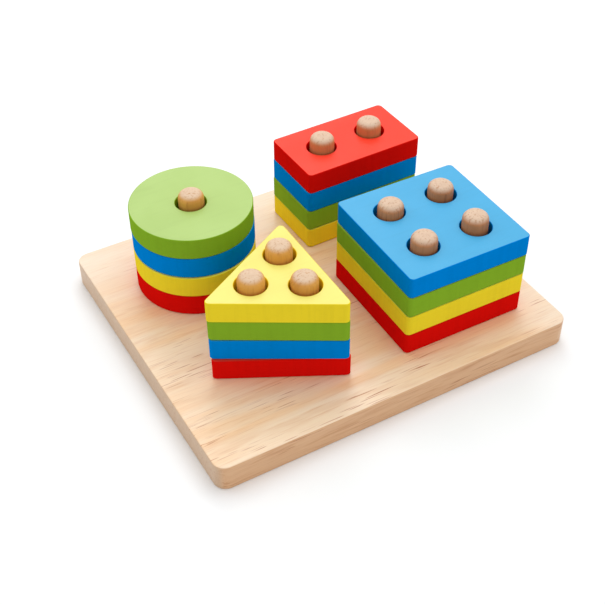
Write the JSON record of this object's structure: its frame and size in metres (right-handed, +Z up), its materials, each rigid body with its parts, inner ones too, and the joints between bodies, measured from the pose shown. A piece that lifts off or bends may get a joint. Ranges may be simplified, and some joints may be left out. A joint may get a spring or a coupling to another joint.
{
  "type": "wooden shape puzzle",
  "caption": "Wooden shape-stacking puzzle: a rounded board with glued pegs that carry stacks of painted disc, rectangle, triangle and square blocks, which lift off.",
  "frame": {"origin": "middle of the board's underside", "axes": "+X along the board's longer side, from the disc and triangle to the rectangle and square; +Y from the triangle and square row to the disc and rectangle row; +Z up along the pegs"},
  "size_m": [0.1684, 0.1466, 0.059],
  "materials": {
    "board_wood": "natural hardwood, clear satin",
    "peg_wood": "natural dowel, clear satin",
    "red_paint": "satin paint",
    "yellow_paint": "satin paint",
    "green_paint": "satin paint",
    "blue_paint": "satin paint"
  },
  "bodies": {
    "board": {"base_board": "board_wood", "disc_peg_1": "peg_wood", "rectangle_peg_1": "peg_wood", "rectangle_peg_2": "peg_wood", "triangle_peg_1": "peg_wood", "triangle_peg_2": "peg_wood", "triangle_peg_3": "peg_wood", "square_peg_1": "peg_wood", "square_peg_2": "peg_wood", "square_peg_3": "peg_wood", "square_peg_4": "peg_wood"},
    "disc_red": {"disc_block_1_red": "red_paint"},
    "disc_yellow": {"disc_block_2_yellow": "yellow_paint"},
    "disc_blue": {"disc_block_3_blue": "blue_paint"},
    "disc_green": {"disc_block_4_green": "green_paint"},
    "rectangle_yellow": {"rectangle_block_1_yellow": "yellow_paint"},
    "rectangle_green": {"rectangle_block_2_green": "green_paint"},
    "rectangle_blue": {"rectangle_block_3_blue": "blue_paint"},
    "rectangle_red": {"rectangle_block_4_red": "red_paint"},
    "triangle_red": {"triangle_block_1_red": "red_paint"},
    "triangle_blue": {"triangle_block_2_blue": "blue_paint"},
    "triangle_green": {"triangle_block_3_green": "green_paint"},
    "triangle_yellow": {"triangle_block_4_yellow": "yellow_paint"},
    "square_red": {"square_block_1_red": "red_paint"},
    "square_yellow": {"square_block_2_yellow": "yellow_paint"},
    "square_green": {"square_block_3_green": "green_paint"},
    "square_blue": {"square_block_4_blue": "blue_paint"}
  },
  "joints": [
    {"name": "disc_red_lift", "type": "slide", "parent": "board", "child": "disc_red", "axis": [0, 0, 1], "range_m": [0, 0.0485]},
    {"name": "disc_yellow_lift", "type": "slide", "parent": "disc_red", "child": "disc_yellow", "axis": [0, 0, 1], "range_m": [0, 0.0384]},
    {"name": "disc_blue_lift", "type": "slide", "parent": "disc_yellow", "child": "disc_blue", "axis": [0, 0, 1], "range_m": [0, 0.0283]},
    {"name": "disc_green_lift", "type": "slide", "parent": "disc_blue", "child": "disc_green", "axis": [0, 0, 1], "range_m": [0, 0.0182]},
    {"name": "rectangle_yellow_lift", "type": "slide", "parent": "board", "child": "rectangle_yellow", "axis": [0, 0, 1], "range_m": [0, 0.0485]},
    {"name": "rectangle_green_lift", "type": "slide", "parent": "rectangle_yellow", "child": "rectangle_green", "axis": [0, 0, 1], "range_m": [0, 0.0384]},
    {"name": "rectangle_blue_lift", "type": "slide", "parent": "rectangle_green", "child": "rectangle_blue", "axis": [0, 0, 1], "range_m": [0, 0.0283]},
    {"name": "rectangle_red_lift", "type": "slide", "parent": "rectangle_blue", "child": "rectangle_red", "axis": [0, 0, 1], "range_m": [0, 0.0182]},
    {"name": "triangle_red_lift", "type": "slide", "parent": "board", "child": "triangle_red", "axis": [0, 0, 1], "range_m": [0, 0.0485]},
    {"name": "triangle_blue_lift", "type": "slide", "parent": "triangle_red", "child": "triangle_blue", "axis": [0, 0, 1], "range_m": [0, 0.0384]},
    {"name": "triangle_green_lift", "type": "slide", "parent": "triangle_blue", "child": "triangle_green", "axis": [0, 0, 1], "range_m": [0, 0.0283]},
    {"name": "triangle_yellow_lift", "type": "slide", "parent": "triangle_green", "child": "triangle_yellow", "axis": [0, 0, 1], "range_m": [0, 0.0182]},
    {"name": "square_red_lift", "type": "slide", "parent": "board", "child": "square_red", "axis": [0, 0, 1], "range_m": [0, 0.0485]},
    {"name": "square_yellow_lift", "type": "slide", "parent": "square_red", "child": "square_yellow", "axis": [0, 0, 1], "range_m": [0, 0.0384]},
    {"name": "square_green_lift", "type": "slide", "parent": "square_yellow", "child": "square_green", "axis": [0, 0, 1], "range_m": [0, 0.0283]},
    {"name": "square_blue_lift", "type": "slide", "parent": "square_green", "child": "square_blue", "axis": [0, 0, 1], "range_m": [0, 0.0182]}
  ]
}
